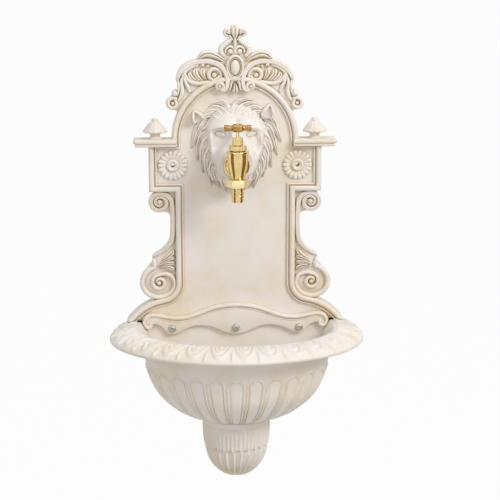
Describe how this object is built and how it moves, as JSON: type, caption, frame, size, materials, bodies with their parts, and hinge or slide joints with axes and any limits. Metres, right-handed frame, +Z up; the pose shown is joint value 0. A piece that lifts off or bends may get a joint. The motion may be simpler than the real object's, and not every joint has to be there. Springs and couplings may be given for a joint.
{
  "type": "wall fountain",
  "caption": "Cast wall fountain with an arched back panel, a lion mask with a brass tap and hose union in its mouth, a half-round basin and a corbel.",
  "frame": {"origin": "on the wall plane, midway between the two wall fixing holes", "axes": "+X right as seen from the front, +Y into the wall so that the front faces -Y, +Z up"},
  "size_m": [0.402, 0.227, 0.728],
  "materials": {
    "ivory": "antiqued paint",
    "brass": "polished",
    "steel": "zinc plated",
    "rubber": "moulded"
  },
  "bodies": {
    "fountain": {"back_panel": "ivory", "basin": "ivory", "basin_bolts": "steel", "basin_nuts": "steel", "basin_washers": "steel", "bonnet": "brass", "bonnet_gasket": "rubber", "corbel": "ivory", "corbel_bolts": "steel", "corbel_nuts": "steel", "corbel_seals": "rubber", "drain_gasket": "rubber", "drain_nut": "brass", "drain_strainer": "brass", "finial_left": "ivory", "finial_right": "ivory", "gland_nut": "brass", "lion_mask": "ivory", "mask_screws": "steel", "stem_packing": "rubber", "tap_body": "brass", "tap_escutcheon": "brass", "tap_lock_nut": "brass", "tap_lock_washer": "steel"},
    "valve": {"jumper": "brass", "jumper_washer": "rubber", "washer_nut": "brass"},
    "spindle": {"spindle": "brass", "tee_handle": "brass", "handle_screw": "brass"},
    "hose_tail": {"hose_tail": "brass", "union_washer": "rubber"},
    "union_nut": {"union_nut": "brass"}
  },
  "joints": [
    {"name": "valve_lift", "type": "slide", "parent": "fountain", "child": "valve", "axis": [0, 0, 1], "range_m": [0, 0.003]},
    {"name": "handle_turn", "type": "hinge", "parent": "valve", "child": "spindle", "pos_m": [0, -0.106, 0.0682], "axis": [0, 0, 1], "range_deg": [0, 560]},
    {"name": "union_drop", "type": "slide", "parent": "fountain", "child": "hose_tail", "axis": [0, 0, -1], "range_m": [0, 0.00363]},
    {"name": "union_turn", "type": "hinge", "parent": "hose_tail", "child": "union_nut", "pos_m": [0, -0.106, -0.016], "axis": [0, 0, -1], "range_deg": [0, 740]}
  ],
  "couplings": [
    {"joint": "handle_turn", "follows": "valve_lift", "rad_per_m": 3141.6},
    {"joint": "union_turn", "follows": "union_drop", "rad_per_m": 3463.8}
  ]
}
